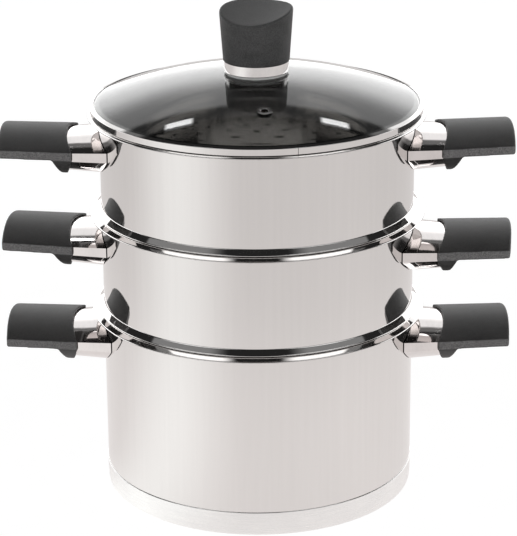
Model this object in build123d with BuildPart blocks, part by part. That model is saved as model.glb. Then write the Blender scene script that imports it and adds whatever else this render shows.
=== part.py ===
from build123d import *

import os
from math import asin, cos, degrees, pi, radians, sin, sqrt, tan

# Stacked steamer pot, in millimetres. The origin is the centre of the base's flat face,
# +Z is up, the handles point along X, and the front is -Y.
# A stock pot carries two steamer inserts with perforated floors, one on the other,
# and a glass lid. All three vessels share one wall, one flared rim and one handle.

os.makedirs("parts", exist_ok=True)

# Vessel walls, pressed from one gauge of stainless sheet
inner_radius = 120.2
sheet = 0.6
rim_height = 148.1
tier_height = 78.2

# Flared pouring rim: the wall bends out over a small radius and slopes down to a turned edge
rim_bend = 1.5
rim_slope = 21.6
rim_reach = 8.7
rim_curl = 0.6
rim_drop = 0.5

# Running and seating clearances
seat_gap = 0.3
press_gap = 0.05
slip_gap = 0.2
overrun = 10.0

# Capsule base: a pressed cap with an aluminium core under the pot's floor
core_thickness = 6.0
cap_sheet = 0.6
cap_height = 19.4
cap_corner = 2.2
cap_foot_inset = 0.9
core_rim_height = 14.0
pot_corner = 12.0

# Steamer insert: the skirt nests in the vessel below, and the wall is folded out over the
# rim there into a lip with a sloping shoulder above it
skirt_depth = 13.0
skirt_corner = 2.5
lip_reach = 7.2
lip_fold = 0.4
shoulder_slope = 35.5
shoulder_bend = 1.0
ledge_width = 9.0
floor_hole_radius = 2.75
floor_ring_step = 23.0
floor_rings = 4
holes_in_first_ring = 6

# Lid: tempered glass dome in a rolled steel band, its edge just inside the rim's
glass_rim_inset = 1.95
glass_thickness = 4.0
band_sheet = 0.4
band_lap = 2.6
band_round = 0.4
lid_skirt_gap = 0.7
lid_skirt_depth = 8.0
seam_width = 0.35
seam_azimuth = -76.6

# Steam vent eyelet, riveted through the glass
vent_radius = 80.0
vent_azimuth = -85.9
vent_bore = 3.0
vent_tube_wall = 0.9
vent_flange_radius = 5.75
vent_flange = 0.7

# Lid knob: chromed collar and moulded grip, screwed down through the glass
gasket_thickness = 1.0
gasket_inset = 1.2
collar_height = 7.8
collar_foot_radius = 25.0
collar_top_radius = 24.5
collar_sheet = 1.0
knob_foot_radius = 25.3
knob_top_radius = 28.6
knob_height = 46.0
knob_foot_round = 1.2
knob_edge_round = 1.3
knob_boss_radius = 8.0
knob_turn = -17.0
scoop_depth = 9.26
scoop_radius = 108.0
scoop_tilt = 9.2
insert_radius = 4.2
insert_length = 14.0
lid_screw_radius = 2.4
lid_screw_head_radius = 5.5
lid_screw_head = 2.6
lid_screw_hole = 3.2
washer_radius = 9.0
washer_thickness = 1.0

# Handle: heights are measured from the crease where the grip's crown meets its sides
pot_handle_drop = 21.2
insert_handle_drop = 23.9
ferrule_length = 24.6
grip_length = 50.9
grip_end_bow = 2.0
grip_root_half_width = 41.4
grip_narrowing = 2.2
grip_crown = 7.0
grip_side = 7.0
grip_keel = 19.0
grip_rise = 2.6
grip_collar = 2.6
grip_ramp = 70.0
grip_edge_break = 0.7

ferrule_sheet = 0.9
ferrule_gap = 0.5
ferrule_wall_half_width = 44.2
ferrule_wall_crown = 7.2
ferrule_wall_side = 7.8
ferrule_wall_keel = 18.2
ferrule_end_half_width = 37.6
ferrule_end_crown = 6.0
ferrule_end_side = 6.2
ferrule_end_keel = 15.0
ferrule_end_fall = 1.4
ferrule_socket = 3.0

bracket_sheet = 2.0
bracket_half_width = 22.0
bracket_below = 17.0
bracket_above = 0.5
tang_half_width = 13.0
tang_rise = 1.2
tang_lap = 7.5
handle_screw_inset = 15.3
handle_screw_radius = 2.4
handle_screw_head_radius = 4.2
handle_screw_head = 2.2
handle_screw_recess = 0.6
handle_screw_tip = 4.2

# Turns of each vessel about the pot's axis, as they were set down
pot_turn = -1.0
middle_turn = -4.0
top_turn = 0.3

# Radii and heights that follow from the sizes above
wall_radius = inner_radius + sheet
wall_line = inner_radius + sheet / 2
rim_ball = rim_bend + sheet / 2
rim_centre_radius = wall_line + rim_bend
slope = radians(rim_slope)
rim_corner_rise = rim_bend * tan((pi / 2 + slope) / 2)


def rim_bend_height(crown):
    """Height at which a wall starts to bend out, for a rim whose highest line is at crown."""
    return crown - rim_ball


def rim_corner(crown):
    """Sheet-centre height at which the lines of a wall and of its sloping rim would meet."""
    return rim_bend_height(crown) + rim_corner_rise


def rim_points(crown):
    """Sheet-centre corners of a flared rim, from the top of the wall to the turned edge."""
    edge = rim_corner(crown) - rim_reach * tan(slope)
    return [
        (wall_line, rim_corner(crown)),
        (wall_line + rim_reach, edge),
        (wall_line + rim_reach, edge - rim_drop),
    ]


def finish(part, name):
    """Label a finished piece and write it."""
    part.label = name
    export_step(part, f"parts/{name}.step")


# The pot
cap_floor = cap_sheet + press_gap
pot_floor_under = cap_floor + core_thickness
pot_floor_line = pot_floor_under + sheet / 2

with BuildPart() as pot_shell:
    with BuildSketch(Plane.XZ):
        with BuildLine():
            FilletPolyline(
                (0, pot_floor_line),
                (wall_line, pot_floor_line),
                *rim_points(rim_height),
                radius=[pot_corner - sheet / 2, rim_bend, rim_curl],
            )
        trace(line_width=sheet)
    revolve(axis=Axis.Z)
finish(pot_shell.part, "pot_shell")

cap_top_radius = wall_radius + press_gap + cap_sheet / 2
cap_foot_radius = cap_top_radius - cap_foot_inset

with BuildPart() as pot_base_cap:
    with BuildSketch(Plane.XZ):
        with BuildLine():
            FilletPolyline(
                (0, cap_sheet / 2),
                (cap_foot_radius, cap_sheet / 2),
                (cap_top_radius, cap_height),
                radius=cap_corner,
            )
        trace(line_width=cap_sheet)
    revolve(axis=Axis.Z)
finish(pot_base_cap.part, "pot_base_cap")

# The core fills the space between the cap and the pot's rounded floor
core_foot_radius = cap_foot_radius - cap_sheet / 2 - press_gap
core_lean = cap_foot_inset * core_rim_height / cap_height
nest_radius = wall_radius + press_gap
nest_floor = pot_floor_under - press_gap

with BuildPart() as pot_base_core:
    with BuildSketch(Plane.XZ):
        with BuildLine():
            core_outline = FilletPolyline(
                (0, cap_floor),
                (core_foot_radius, cap_floor),
                (core_foot_radius + core_lean - press_gap, core_rim_height),
                radius=cap_corner,
            )
            Polyline(core_outline @ 1, (0, core_rim_height), core_outline @ 0)
        make_face()
        with BuildLine():
            nest = FilletPolyline(
                (0, nest_floor),
                (nest_radius, nest_floor),
                (nest_radius, core_rim_height + overrun),
                radius=pot_corner,
            )
            Polyline(nest @ 1, (0, core_rim_height + overrun), nest @ 0)
        make_face(mode=Mode.SUBTRACT)
    revolve(axis=Axis.Z)
finish(pot_base_core.part, "pot_base_core")


# Steamer inserts
# The skirt bends out round the rim below, one seat gap off it, and runs down along its slope
# to a lip. There the sheet folds back on itself and climbs inwards to the wall.
nest_bend = rim_ball + seat_gap + sheet / 2
skirt_line = rim_centre_radius - nest_bend
lip_line = wall_line + lip_reach
nest_rise = (sheet + seat_gap) / cos(slope) + (wall_line - skirt_line) * tan(slope)
lip_fall = (lip_line - skirt_line) * tan(slope)
shoulder_climb = lip_reach * tan(radians(shoulder_slope))
floor_thickness = sheet
floor_radius = skirt_line - sheet / 2 - skirt_corner
ledge_radius = floor_radius + skirt_corner - ledge_width


def nest_height(crown_below):
    """Sheet-centre height of the corner at which an insert's skirt turns out over a rim."""
    return rim_corner(crown_below) + nest_rise


def ledge_line(crown_below):
    """Sheet-centre height of the ring at the foot of the skirt, which carries the floor."""
    return nest_height(crown_below) - skirt_depth


def make_steamer_wall(name, crown_below):
    """Wall of a steamer insert, from its floor ledge and skirt to its own flared rim."""
    nest = nest_height(crown_below)
    foot = ledge_line(crown_below)
    with BuildPart() as wall:
        with BuildSketch(Plane.XZ):
            with BuildLine():
                FilletPolyline(
                    (ledge_radius, foot),
                    (skirt_line, foot),
                    (skirt_line, nest),
                    (lip_line, nest - lip_fall),
                    (wall_line, nest - lip_fall + shoulder_climb),
                    *rim_points(crown_below + tier_height),
                    radius=[skirt_corner, nest_bend, lip_fold, shoulder_bend, rim_bend, rim_curl],
                )
            trace(line_width=sheet)
        revolve(axis=Axis.Z)
    finish(wall.part, name)


def make_steamer_floor(name, crown_below, turn):
    """Perforated disc on the ledge: rings of steam holes about one in the centre."""
    foot = ledge_line(crown_below) + sheet / 2
    with BuildPart() as plate:
        with BuildSketch(Plane.XY.offset(foot)):
            Circle(floor_radius)
            Circle(floor_hole_radius, mode=Mode.SUBTRACT)
            for ring in range(1, floor_rings + 1):
                with PolarLocations(ring * floor_ring_step, ring * holes_in_first_ring, turn):
                    Circle(floor_hole_radius, mode=Mode.SUBTRACT)
        extrude(amount=floor_thickness)
    finish(plate.part, name)


# Handles
# Each handle is drawn about its own radial frame: x outwards, y along the wall, z up from
# the crease. Sections stand across the frame, side profiles along it.


def handle_frame(crease, turn):
    """Frame of a handle with its crease at a height, turned about the pot's axis."""
    angle = radians(turn)
    return Plane(
        origin=(0, 0, crease),
        x_dir=(cos(angle), sin(angle), 0),
        z_dir=(0, 0, 1),
    )


def across(frame, reach):
    """Plane across a handle at a distance from the pot's axis."""
    return Plane(origin=frame.origin + frame.x_dir * reach, x_dir=frame.y_dir, z_dir=frame.x_dir)


def along(frame):
    """Upright plane along a handle's middle."""
    return Plane(origin=frame.origin, x_dir=frame.x_dir, z_dir=-frame.y_dir)


def handle_outline(half_width, crease, crown, side, keel):
    """Shallow crown over upright sides, closed below by a keel that hangs from their feet."""
    foot = crease - side
    ThreePointArc((-half_width, crease), (0, crease + crown), (half_width, crease))
    Line((half_width, crease), (half_width, foot))
    ThreePointArc((half_width, foot), (0, foot - keel), (-half_width, foot))
    Line((-half_width, foot), (-half_width, crease))


# Reaches from the pot's axis, each from the one before
grip_root_radius = wall_radius + ferrule_length
grip_end = grip_root_radius + grip_length
handle_screw_reach = grip_end - handle_screw_inset
tang_end = handle_screw_reach + tang_lap
handle_depth = ferrule_wall_side + ferrule_wall_keel + overrun
ferrule_start = sqrt(wall_radius**2 - ferrule_wall_half_width**2) - overrun / 2
ferrule_end = grip_root_radius + ferrule_socket


def ferrule_sections(frame, inset):
    """End sections of the tapering sleeve from wall to grip, drawn in by inset all round."""
    with BuildSketch(across(frame, ferrule_start)) as wall_end:
        with BuildLine():
            handle_outline(
                ferrule_wall_half_width - inset,
                0,
                ferrule_wall_crown - inset,
                ferrule_wall_side,
                ferrule_wall_keel - inset,
            )
        make_face()
    with BuildSketch(across(frame, ferrule_end)) as grip_end_section:
        with BuildLine():
            handle_outline(
                ferrule_end_half_width - inset,
                -ferrule_end_fall,
                ferrule_end_crown - inset,
                ferrule_end_side,
                ferrule_end_keel - inset,
            )
        make_face()
    return [wall_end.sketch, grip_end_section.sketch]


def make_ferrule(name, frame):
    """Chromed flame guard: an open sleeve that stands just off the wall."""
    with BuildPart() as ferrule:
        loft(ferrule_sections(frame, 0), ruled=True)
        loft(ferrule_sections(frame, ferrule_sheet), ruled=True, mode=Mode.SUBTRACT)
        with BuildSketch(frame):
            Circle(wall_radius + ferrule_gap)
        extrude(amount=handle_depth, both=True, mode=Mode.SUBTRACT)
    finish(ferrule.part, name)


tang_under = tang_rise - bracket_sheet / 2
tang_over = tang_rise + bracket_sheet / 2


def make_bracket(name, frame):
    """Welded plate that follows the wall, with a flat tang that carries the grip."""
    with BuildPart() as bracket:
        with BuildSketch(frame.offset(-bracket_below)):
            Circle(wall_radius + press_gap + bracket_sheet)
            Circle(wall_radius + press_gap, mode=Mode.SUBTRACT)
            with Locations((wall_radius, 0)):
                Rectangle(wall_radius, 2 * bracket_half_width, mode=Mode.INTERSECT)
        extrude(amount=bracket_below + tang_over + bracket_above)
        with BuildSketch(frame.offset(tang_under)):
            with BuildLine():
                Polyline(
                    (wall_radius + bracket_sheet / 2, -tang_half_width),
                    (tang_end, -tang_half_width),
                    (tang_end, tang_half_width),
                    (wall_radius + bracket_sheet / 2, tang_half_width),
                    close=True,
                )
            make_face()
            with Locations((handle_screw_reach, 0)):
                Circle(handle_screw_radius + press_gap, mode=Mode.SUBTRACT)
        extrude(amount=bracket_sheet)
    finish(bracket.part, name)


grip_inner = sqrt(grip_root_radius**2 - grip_root_half_width**2) - overrun / 2
grip_outer = grip_end + overrun / 2
grip_depth = grip_side + grip_keel
ramp_foot = grip_root_radius + grip_collar
ramp_head = ramp_foot + grip_keel / tan(radians(grip_ramp))
screw_seat = handle_screw_head + handle_screw_recess


def underside(reach):
    """Height of the grip's flat underside, which rises towards its outer end."""
    share = (reach - grip_inner) / (grip_outer - grip_inner)
    return grip_rise * share - grip_side


def make_grip(name, frame):
    """Moulded grip: a collar round the ferrule's end, then a ramp up to a flat underside."""
    with BuildPart() as grip:
        with BuildSketch(across(frame, grip_inner)):
            with BuildLine():
                handle_outline(grip_root_half_width, 0, grip_crown, grip_side, grip_keel)
            make_face()
        with BuildSketch(across(frame, grip_outer)):
            with BuildLine():
                handle_outline(
                    grip_root_half_width - grip_narrowing,
                    grip_rise,
                    grip_crown,
                    grip_side,
                    grip_keel,
                )
            make_face()
        loft(ruled=True)
        with BuildSketch(along(frame)):
            with BuildLine():
                Polyline(
                    (grip_inner - overrun, overrun + grip_crown),
                    (grip_inner - overrun, -grip_depth - grip_rise),
                    (ramp_foot, -grip_depth - grip_rise),
                    (ramp_foot, -grip_depth),
                    (ramp_head, underside(ramp_head)),
                    (grip_outer + overrun, underside(grip_outer + overrun)),
                    (grip_outer + overrun, overrun + grip_crown),
                    close=True,
                )
            make_face()
        extrude(amount=grip_root_half_width + overrun, both=True, mode=Mode.INTERSECT)
        with BuildSketch(frame):
            with BuildLine():
                ThreePointArc(
                    (grip_end - grip_end_bow, -grip_root_half_width),
                    (grip_end, 0),
                    (grip_end - grip_end_bow, grip_root_half_width),
                )
                Polyline(
                    (grip_end - grip_end_bow, grip_root_half_width),
                    (grip_inner - overrun, grip_root_half_width),
                    (grip_inner - overrun, -grip_root_half_width),
                    (grip_end - grip_end_bow, -grip_root_half_width),
                )
            make_face()
        extrude(amount=handle_depth, both=True, mode=Mode.INTERSECT)
        with BuildSketch(frame):
            Circle(grip_root_radius)
        extrude(amount=handle_depth, both=True, mode=Mode.SUBTRACT)
        end_face = grip.faces().sort_by(Axis(frame.origin, frame.x_dir))[-1]
        chamfer(end_face.edges(), length=grip_edge_break)
        loft(ferrule_sections(frame, -slip_gap), ruled=True, mode=Mode.SUBTRACT)
        with BuildSketch(across(frame, grip_root_radius)):
            with Locations((0, tang_rise)):
                Rectangle(2 * (tang_half_width + slip_gap), bracket_sheet + 2 * slip_gap)
        extrude(amount=tang_end + slip_gap - grip_root_radius, mode=Mode.SUBTRACT)
        screw_plane = frame.offset(underside(handle_screw_reach) - grip_rise)
        with BuildSketch(screw_plane):
            with Locations((handle_screw_reach, 0)):
                Circle(handle_screw_head_radius + slip_gap)
        extrude(amount=screw_seat + grip_rise, mode=Mode.SUBTRACT)
        with BuildSketch(screw_plane):
            with Locations((handle_screw_reach, 0)):
                Circle(handle_screw_radius + slip_gap)
        extrude(amount=grip_side + handle_screw_tip + slip_gap + grip_rise, mode=Mode.SUBTRACT)
    finish(grip.part, name)


def make_handle_screws(name, frames):
    """One pan-head screw per handle, from the grip's underside up into the tang."""
    seat = underside(handle_screw_reach) + screw_seat
    with BuildPart() as screws:
        for frame in frames:
            with BuildSketch(frame.offset(seat - press_gap)):
                with Locations((handle_screw_reach, 0)):
                    Circle(handle_screw_head_radius)
            extrude(amount=-handle_screw_head)
            with BuildSketch(frame.offset(seat - press_gap)):
                with Locations((handle_screw_reach, 0)):
                    Circle(handle_screw_radius)
            extrude(amount=handle_screw_tip - seat)
    finish(screws.part, name)


def make_handles(vessel, crease, turn):
    """Both handles of a vessel: a bracket, a ferrule and a grip each, and their screws."""
    right = handle_frame(crease, turn)
    left = handle_frame(crease, turn + degrees(pi))
    for side, frame in (("right", right), ("left", left)):
        make_bracket(f"{vessel}_bracket_{side}", frame)
        make_ferrule(f"{vessel}_ferrule_{side}", frame)
        make_grip(f"{vessel}_grip_{side}", frame)
    make_handle_screws(f"{vessel}_handle_screws", (right, left))


middle_crown = rim_height + tier_height
top_crown = middle_crown + tier_height

make_handles("pot", rim_height - pot_handle_drop, pot_turn)
for vessel, crown_below, turn in (
    ("middle", rim_height, middle_turn),
    ("top", middle_crown, top_turn),
):
    make_steamer_wall(f"{vessel}_wall", crown_below)
    make_steamer_floor(f"{vessel}_floor", crown_below, turn)
    make_handles(vessel, crown_below + tier_height - insert_handle_drop, turn)


# The lid
# Glass and band are parts of concentric spheres. Their slope at the glass edge is the
# rim's own slope, so the band's lower flange lies along the rim at the seat gap.
glass_edge_radius = wall_line + rim_reach - glass_rim_inset
glass_top = glass_edge_radius / sin(slope)
glass_under = glass_top - glass_thickness
flange_over = glass_under - press_gap
flange_under = flange_over - band_sheet
lap_under = glass_top + press_gap
lap_over = lap_under + band_sheet
band_radius = glass_edge_radius + press_gap + band_sheet
seat_radius = flange_under * sin(slope)
rim_top_at_seat = (
    rim_corner(top_crown) + sheet / 2 / cos(slope) - (seat_radius - wall_line) * tan(slope)
)
dome_centre = rim_top_at_seat + (seat_gap + press_gap) / cos(slope) - flange_under * cos(slope)
apex = dome_centre + glass_top


def on_dome(sphere, radius):
    """Point of one of the lid's spheres at a radius from the axis."""
    return (radius, dome_centre + sqrt(sphere**2 - radius**2))


def dome_arc(sphere, start, end):
    """Arc of one of the lid's spheres between two radii."""
    return ThreePointArc(
        on_dome(sphere, start), on_dome(sphere, (start + end) / 2), on_dome(sphere, end)
    )


# Frame of the vent: its origin is on the glass's middle surface, its z is the glass normal
vent_tilt = asin(vent_radius / glass_top)
vent_angle = radians(vent_azimuth)
vent_normal = Vector(
    sin(vent_tilt) * cos(vent_angle), sin(vent_tilt) * sin(vent_angle), cos(vent_tilt)
)
vent_frame = Plane(
    origin=Vector(0, 0, dome_centre) + vent_normal * (glass_top + glass_under) / 2,
    x_dir=(-sin(vent_angle), cos(vent_angle), 0),
    z_dir=vent_normal,
)
vent_tube_radius = vent_bore + vent_tube_wall

with BuildPart() as lid_glass:
    with BuildSketch(Plane.XZ):
        with BuildLine():
            dome_arc(glass_under, lid_screw_hole, glass_edge_radius)
            Line(
                on_dome(glass_under, glass_edge_radius), on_dome(glass_top, glass_edge_radius)
            )
            dome_arc(glass_top, glass_edge_radius, lid_screw_hole)
            Line(on_dome(glass_top, lid_screw_hole), on_dome(glass_under, lid_screw_hole))
        make_face()
    revolve(axis=Axis.Z)
    with BuildSketch(vent_frame):
        Circle(vent_tube_radius + press_gap)
    extrude(amount=glass_thickness, both=True, mode=Mode.SUBTRACT)
finish(lid_glass.part, "lid_glass")

lap_radius = glass_edge_radius - band_lap
lid_skirt_radius = inner_radius - lid_skirt_gap
lid_skirt_inner = lid_skirt_radius - band_sheet
lid_skirt_foot = top_crown - lid_skirt_depth

with BuildPart() as lid_band:
    with BuildSketch(Plane.XZ) as band_section:
        with BuildLine():
            Line(on_dome(flange_under, band_radius), on_dome(lap_over, band_radius))
            dome_arc(lap_over, band_radius, lap_radius)
            Line(on_dome(lap_over, lap_radius), on_dome(lap_under, lap_radius))
            dome_arc(lap_under, lap_radius, glass_edge_radius + press_gap)
            Line(
                on_dome(lap_under, glass_edge_radius + press_gap),
                on_dome(flange_over, glass_edge_radius + press_gap),
            )
            dome_arc(flange_over, glass_edge_radius + press_gap, lid_skirt_inner)
            Polyline(
                on_dome(flange_over, lid_skirt_inner),
                (lid_skirt_inner, lid_skirt_foot),
                (lid_skirt_radius, lid_skirt_foot),
                on_dome(flange_under, lid_skirt_radius),
            )
            dome_arc(flange_under, lid_skirt_radius, band_radius)
        make_face()
        fillet(band_section.vertices().group_by(Axis.X)[-1], radius=band_round)
    revolve(axis=Axis.Z)
    # The band is a rolled strip, and its ends meet at a hairline seam
    seam_angle = radians(seam_azimuth)
    seam_plane = Plane(
        origin=(0, 0, lid_skirt_foot),
        x_dir=(cos(seam_angle), sin(seam_angle), 0),
        z_dir=(0, 0, 1),
    )
    with BuildSketch(seam_plane):
        with Locations((band_radius, 0)):
            Rectangle(2 * (band_radius - lid_skirt_inner) + overrun, seam_width)
    extrude(amount=apex - lid_skirt_foot, mode=Mode.SUBTRACT)
finish(lid_band.part, "lid_band")

vent_profile = Plane(origin=vent_frame.origin, x_dir=vent_frame.x_dir, z_dir=-vent_frame.y_dir)
vent_seat = glass_thickness / 2 + 2 * press_gap
vent_end = vent_seat + vent_flange

with BuildPart() as vent_eyelet:
    with BuildSketch(vent_profile) as vent_section:
        with BuildLine():
            Polyline(
                (vent_bore, -vent_end),
                (vent_flange_radius, -vent_end),
                (vent_flange_radius, -vent_seat),
                (vent_tube_radius, -vent_seat),
                (vent_tube_radius, vent_seat),
                (vent_flange_radius, vent_seat),
                (vent_flange_radius, vent_end),
                (vent_bore, vent_end),
                close=True,
            )
        make_face()
        rolled = (
            vent_section.vertices().group_by(Axis(vent_frame.origin, vent_normal))[-1]
            + vent_section.vertices().group_by(Axis(vent_frame.origin, vent_normal))[0]
        )
        fillet(rolled, radius=vent_flange / 2)
    revolve(axis=Axis(vent_frame.origin, vent_normal))
finish(vent_eyelet.part, "vent_eyelet")


# The knob, from the glass up
collar_foot = apex + gasket_thickness
collar_top = collar_foot + collar_height
knob_foot = collar_top
knob_top = knob_foot + knob_height
gasket_radius = collar_foot_radius - gasket_inset

with BuildPart() as knob_gasket:
    with BuildSketch(Plane.XZ):
        with BuildLine():
            dome_arc(glass_top + press_gap, lid_screw_hole, gasket_radius)
            Polyline(
                on_dome(glass_top + press_gap, gasket_radius),
                (gasket_radius, collar_foot - press_gap),
                (lid_screw_hole, collar_foot - press_gap),
                on_dome(glass_top + press_gap, lid_screw_hole),
            )
        make_face()
    revolve(axis=Axis.Z)
finish(knob_gasket.part, "knob_gasket")

collar_bore = knob_boss_radius + slip_gap

with BuildPart() as knob_collar:
    with BuildSketch(Plane.XZ) as collar_section:
        with BuildLine():
            Polyline(
                (collar_foot_radius, collar_foot),
                (collar_top_radius, collar_top - press_gap),
                (collar_bore, collar_top - press_gap),
                (collar_bore, collar_top - press_gap - collar_sheet),
                (collar_top_radius - 2 * collar_sheet, collar_top - press_gap - collar_sheet),
                (collar_foot_radius - 2 * collar_sheet, collar_foot),
                close=True,
            )
        make_face()
        fillet(collar_section.vertices().group_by(Axis.X)[-1], radius=collar_sheet / 2)
    revolve(axis=Axis.Z)
finish(knob_collar.part, "knob_collar")

# The grip flares upwards. Its top is cut by a shallow trough that leans up to one side.
insert_foot = collar_foot + collar_sheet
insert_top = insert_foot + insert_length
screw_tip = insert_top - lid_screw_radius
scoop_low = knob_top - scoop_depth
tilt = radians(scoop_tilt)
turn = radians(knob_turn)
trough = Vector(-sin(turn) * cos(tilt), cos(turn) * cos(tilt), sin(tilt))
scoop_plane = Plane(
    origin=(0, 0, scoop_low), x_dir=(cos(turn), sin(turn), 0), z_dir=-trough
)

with BuildPart() as knob_grip:
    with BuildSketch(Plane.XZ) as knob_section:
        with BuildLine():
            Polyline(
                (0, collar_foot),
                (knob_boss_radius, collar_foot),
                (knob_boss_radius, knob_foot),
                (knob_foot_radius, knob_foot),
                (knob_top_radius, knob_top),
                (0, knob_top),
                close=True,
            )
        make_face()
        foot_corner = knob_section.vertices().sort_by_distance((knob_foot_radius, 0, knob_foot))[0]
        fillet(foot_corner, radius=knob_foot_round)
    revolve(axis=Axis.Z)
    with BuildSketch(scoop_plane):
        with Locations((0, scoop_radius)):
            Circle(scoop_radius)
    extrude(amount=2 * knob_top_radius, both=True, mode=Mode.SUBTRACT)
    trough_face = knob_grip.faces().filter_by(GeomType.CYLINDER).sort_by(Axis.Z)[-1]
    fillet(trough_face.edges(), radius=knob_edge_round)
    with BuildSketch(Plane.XY.offset(collar_foot)):
        Circle(insert_radius + press_gap)
    extrude(amount=insert_top + press_gap - collar_foot, mode=Mode.SUBTRACT)
finish(knob_grip.part, "knob_grip")

with BuildPart() as knob_insert:
    with BuildSketch(Plane.XY.offset(insert_foot)):
        Circle(insert_radius)
        Circle(lid_screw_radius + press_gap, mode=Mode.SUBTRACT)
    extrude(amount=insert_length)
finish(knob_insert.part, "knob_insert")

# Below the glass: gasket, washer and screw
under_apex = on_dome(glass_under, washer_radius)[1] - press_gap
washer_top = under_apex - gasket_thickness
head_top = washer_top - washer_thickness - press_gap

with BuildPart() as screw_gasket:
    with BuildSketch(Plane.XY.offset(under_apex)):
        Circle(washer_radius)
        Circle(lid_screw_hole, mode=Mode.SUBTRACT)
    extrude(amount=press_gap - gasket_thickness)
finish(screw_gasket.part, "screw_gasket")

with BuildPart() as lid_washer:
    with BuildSketch(Plane.XY.offset(washer_top)):
        Circle(washer_radius)
        Circle(lid_screw_radius + slip_gap, mode=Mode.SUBTRACT)
    extrude(amount=-washer_thickness)
finish(lid_washer.part, "lid_washer")

with BuildPart() as lid_screw:
    with BuildSketch(Plane.XY.offset(head_top)):
        Circle(lid_screw_head_radius)
    extrude(amount=-lid_screw_head)
    fillet(lid_screw.edges().group_by(Axis.Z)[0], radius=lid_screw_head / 2)
    with BuildSketch(Plane.XY.offset(head_top)):
        Circle(lid_screw_radius)
    extrude(amount=screw_tip - head_top)
finish(lid_screw.part, "lid_screw")
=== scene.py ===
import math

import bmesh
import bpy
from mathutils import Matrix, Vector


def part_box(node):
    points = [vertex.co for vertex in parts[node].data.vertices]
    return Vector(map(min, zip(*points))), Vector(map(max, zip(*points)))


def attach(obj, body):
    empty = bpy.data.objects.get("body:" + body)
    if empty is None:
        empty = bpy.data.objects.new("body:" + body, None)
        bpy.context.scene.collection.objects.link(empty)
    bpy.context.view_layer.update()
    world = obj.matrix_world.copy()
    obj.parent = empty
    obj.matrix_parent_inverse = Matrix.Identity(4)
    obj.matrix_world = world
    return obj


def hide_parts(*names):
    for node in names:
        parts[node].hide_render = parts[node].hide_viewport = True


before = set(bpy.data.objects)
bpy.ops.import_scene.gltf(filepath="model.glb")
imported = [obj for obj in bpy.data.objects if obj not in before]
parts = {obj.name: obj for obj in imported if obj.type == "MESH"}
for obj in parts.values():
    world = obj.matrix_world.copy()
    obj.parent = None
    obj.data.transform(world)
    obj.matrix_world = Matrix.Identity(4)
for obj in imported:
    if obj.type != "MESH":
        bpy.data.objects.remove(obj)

# %% [markdown]
# # A stacked steamer pot
# This lesson dresses a steamer pot whose parts are already drawn to size. A stock pot carries two
# perforated inserts and a glass lid, and each vessel has two handles. The drawn parts stay where they
# are. We turn the vessels' walls, punch the floors and mould the grips again with finer surfaces, and
# give every piece the finish that its maker would: polish, satin, chrome, grained plastic and glass.

scene = bpy.context.scene
millimetre = 0.001
micron = 0.001 * millimetre
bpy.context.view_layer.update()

# %% [markdown]
# ## Drawing node trees as sums
# Materials here are small sums: a grain is noise times a strength, a polish is one tone less a streak.
# Placing Math nodes by hand hides that, so one small class wraps a socket and lets Python's own signs
# add the nodes. A second one adds every other node: its type, its settings, then its inputs.

# %% A wire that can be added, multiplied and compared


class Wire:
    """An output socket. Python's signs on it add Math nodes."""

    def __init__(self, sheet, socket):
        self.sheet, self.socket = sheet, socket

    def math(self, operation, *values):
        return self.sheet.node("ShaderNodeMath", {"operation": operation}, dict(enumerate(values)))

    def __add__(self, other):
        return self.math("ADD", self, other)

    def __radd__(self, other):
        return self.math("ADD", other, self)

    def __sub__(self, other):
        return self.math("SUBTRACT", self, other)

    def __rsub__(self, other):
        return self.math("SUBTRACT", other, self)

    def __mul__(self, other):
        return self.math("MULTIPLY", self, other)

    def __rmul__(self, other):
        return self.math("MULTIPLY", other, self)

    def __truediv__(self, other):
        return self.math("DIVIDE", self, other)

    def __gt__(self, other):
        return self.math("GREATER_THAN", self, other)

    def at_least(self, other):
        return self.math("MAXIMUM", self, other)

    def root(self):
        return self.math("SQRT", self)

    def size(self):
        return self.math("ABSOLUTE", self)


print("a wire can be added, multiplied, divided and compared")


# %% A sheet that nodes are drawn on


class Sheet:
    """A node tree being drawn."""

    def __init__(self, tree):
        self.tree = tree
        tree.nodes.clear()

    def node(self, kind, settings=None, inputs=None, out=0):
        """Add one node: its type, its settings, and the values or wires of its inputs."""
        made = self.tree.nodes.new(kind)
        for key, value in (settings or {}).items():
            setattr(made, key, value)
        for key, value in (inputs or {}).items():
            if isinstance(value, Wire):
                self.tree.links.new(value.socket, made.inputs[key])
            else:
                made.inputs[key].default_value = value
        return Wire(self, made.outputs[out]) if made.outputs else made

    def join(self, *shapes):
        """One geometry of several."""
        joined = self.tree.nodes.new("GeometryNodeJoinGeometry")
        for shape in shapes:
            self.tree.links.new(shape.socket, joined.inputs[0])
        return Wire(self, joined.outputs[0])

    def blend(self, share, first, second):
        """A colour between two others."""
        return self.node("ShaderNodeMix", {"data_type": "RGBA"}, {0: share, 6: first, 7: second}, out=2)

    def remap(self, value, low, high, to_low=0.0, to_high=1.0, smooth=False):
        """A value stretched from one range to another, and held at its ends."""
        kind = "SMOOTHSTEP" if smooth else "LINEAR"
        ends = {"Value": value, "From Min": low, "From Max": high, "To Min": to_low, "To Max": to_high}
        return self.node("ShaderNodeMapRange", {"interpolation_type": kind}, ends)


print("a sheet draws nodes, joined geometry, blended colours and stretched values")

# %% [markdown]
# ## Coordinates for a round object
# Polish follows the tool. A vessel turns on a lathe while the cloth is held to it, so its marks run
# round the axis, and a drawn wall has faint marks up its height. Both are noise in stretched
# coordinates. Object coordinates are in metres from the middle of the base, so they stay with the
# metal when the lid is lifted.

# %% Noise that runs up the wall, round the axis, or evenly


def object_place(sheet):
    """Where a point is on the object, in metres."""
    return sheet.node("ShaderNodeTexCoord", out="Object")


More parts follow.
